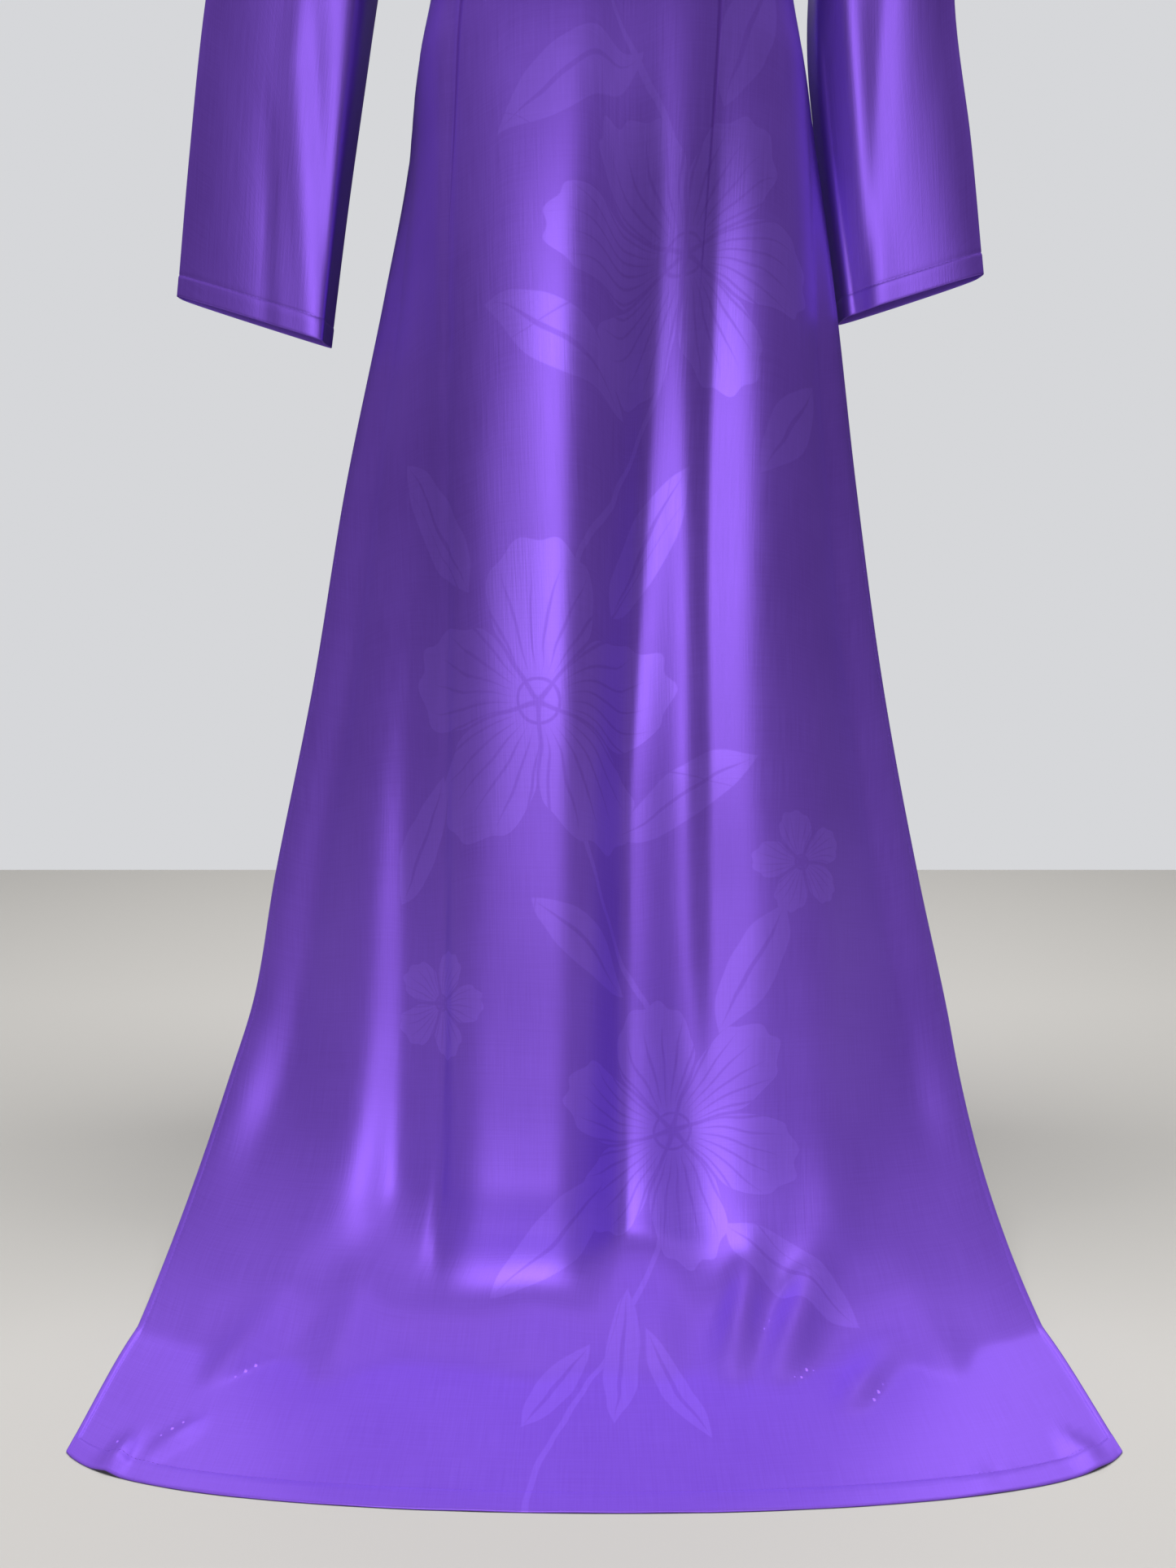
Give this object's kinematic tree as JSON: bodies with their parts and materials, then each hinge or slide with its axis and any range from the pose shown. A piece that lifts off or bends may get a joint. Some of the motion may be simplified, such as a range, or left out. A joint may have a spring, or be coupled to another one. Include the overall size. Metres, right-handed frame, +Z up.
{
  "type": "ao dai tunic",
  "caption": "Long fitted tunic of plain satin with a stand collar, raglan sleeves and a front and a back panel slit to the hip, hem trailing on the floor.",
  "frame": {"origin": "in the neck opening, level with the shoulders that hold the tunic up, 1.36 m above the floor that the hem trails on", "axes": "+Z up; the front faces -Y; the wearer's right sleeve is at -X"},
  "size_m": [0.6689, 0.6987, 1.4099],
  "materials": {
    "violet_satin": "glossy violet satin with a tonal woven figure"
  },
  "bodies": {
    "root": {"front": "violet_satin", "back": "violet_satin", "sleeve_right": "violet_satin", "sleeve_left": "violet_satin", "collar": "violet_satin"}
  },
  "joints": []
}
